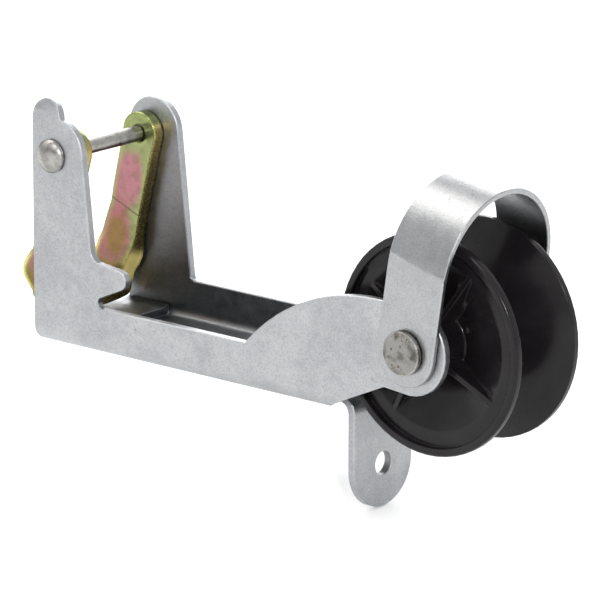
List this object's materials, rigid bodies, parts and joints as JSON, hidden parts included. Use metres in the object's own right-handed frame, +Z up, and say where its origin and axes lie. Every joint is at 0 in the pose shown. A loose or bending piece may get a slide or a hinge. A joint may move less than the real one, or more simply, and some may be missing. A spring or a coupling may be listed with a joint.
{
  "type": "bow roller",
  "caption": "Folded steel channel with a grooved roller, a guard strap over it and a swinging rope pawl between two ears.",
  "frame": {"origin": "on the underside of the channel floor, on its centre line, between the floor's bolt holes", "axes": "+X forward along the channel to the roller, +Y across to the plain ear, +Z up from the floor"},
  "size_m": [0.2212, 0.0612, 0.1265],
  "materials": {
    "zinc_steel": "zinc plated sheet steel, dull blue-grey with fine mottling and handling stains",
    "bright_zinc_steel": "bright zinc plated strip steel with light scuffs",
    "rivet_steel": "plain steel rivet, worn and slightly mottled",
    "yellow_zinc_steel": "yellow passivated zinc with pink and green iridescence",
    "black_plastic": "moulded black nylon, smooth and slightly glossy"
  },
  "bodies": {
    "bracket": {"bracket": "zinc_steel", "guard_strap": "bright_zinc_steel", "axle": "rivet_steel", "pawl_pin": "rivet_steel"},
    "roller": {"roller": "black_plastic"},
    "pawl": {"pawl": "yellow_zinc_steel"}
  },
  "joints": [
    {"name": "roller_spin", "type": "hinge", "parent": "bracket", "child": "roller", "pos_m": [0.0844, 0, 0.027], "axis": [0, 1, 0], "continuous": true},
    {"name": "pawl_swing", "type": "hinge", "parent": "bracket", "child": "pawl", "pos_m": [-0.0756, 0, 0.0678], "axis": [0, 1, 0], "continuous": true}
  ]
}
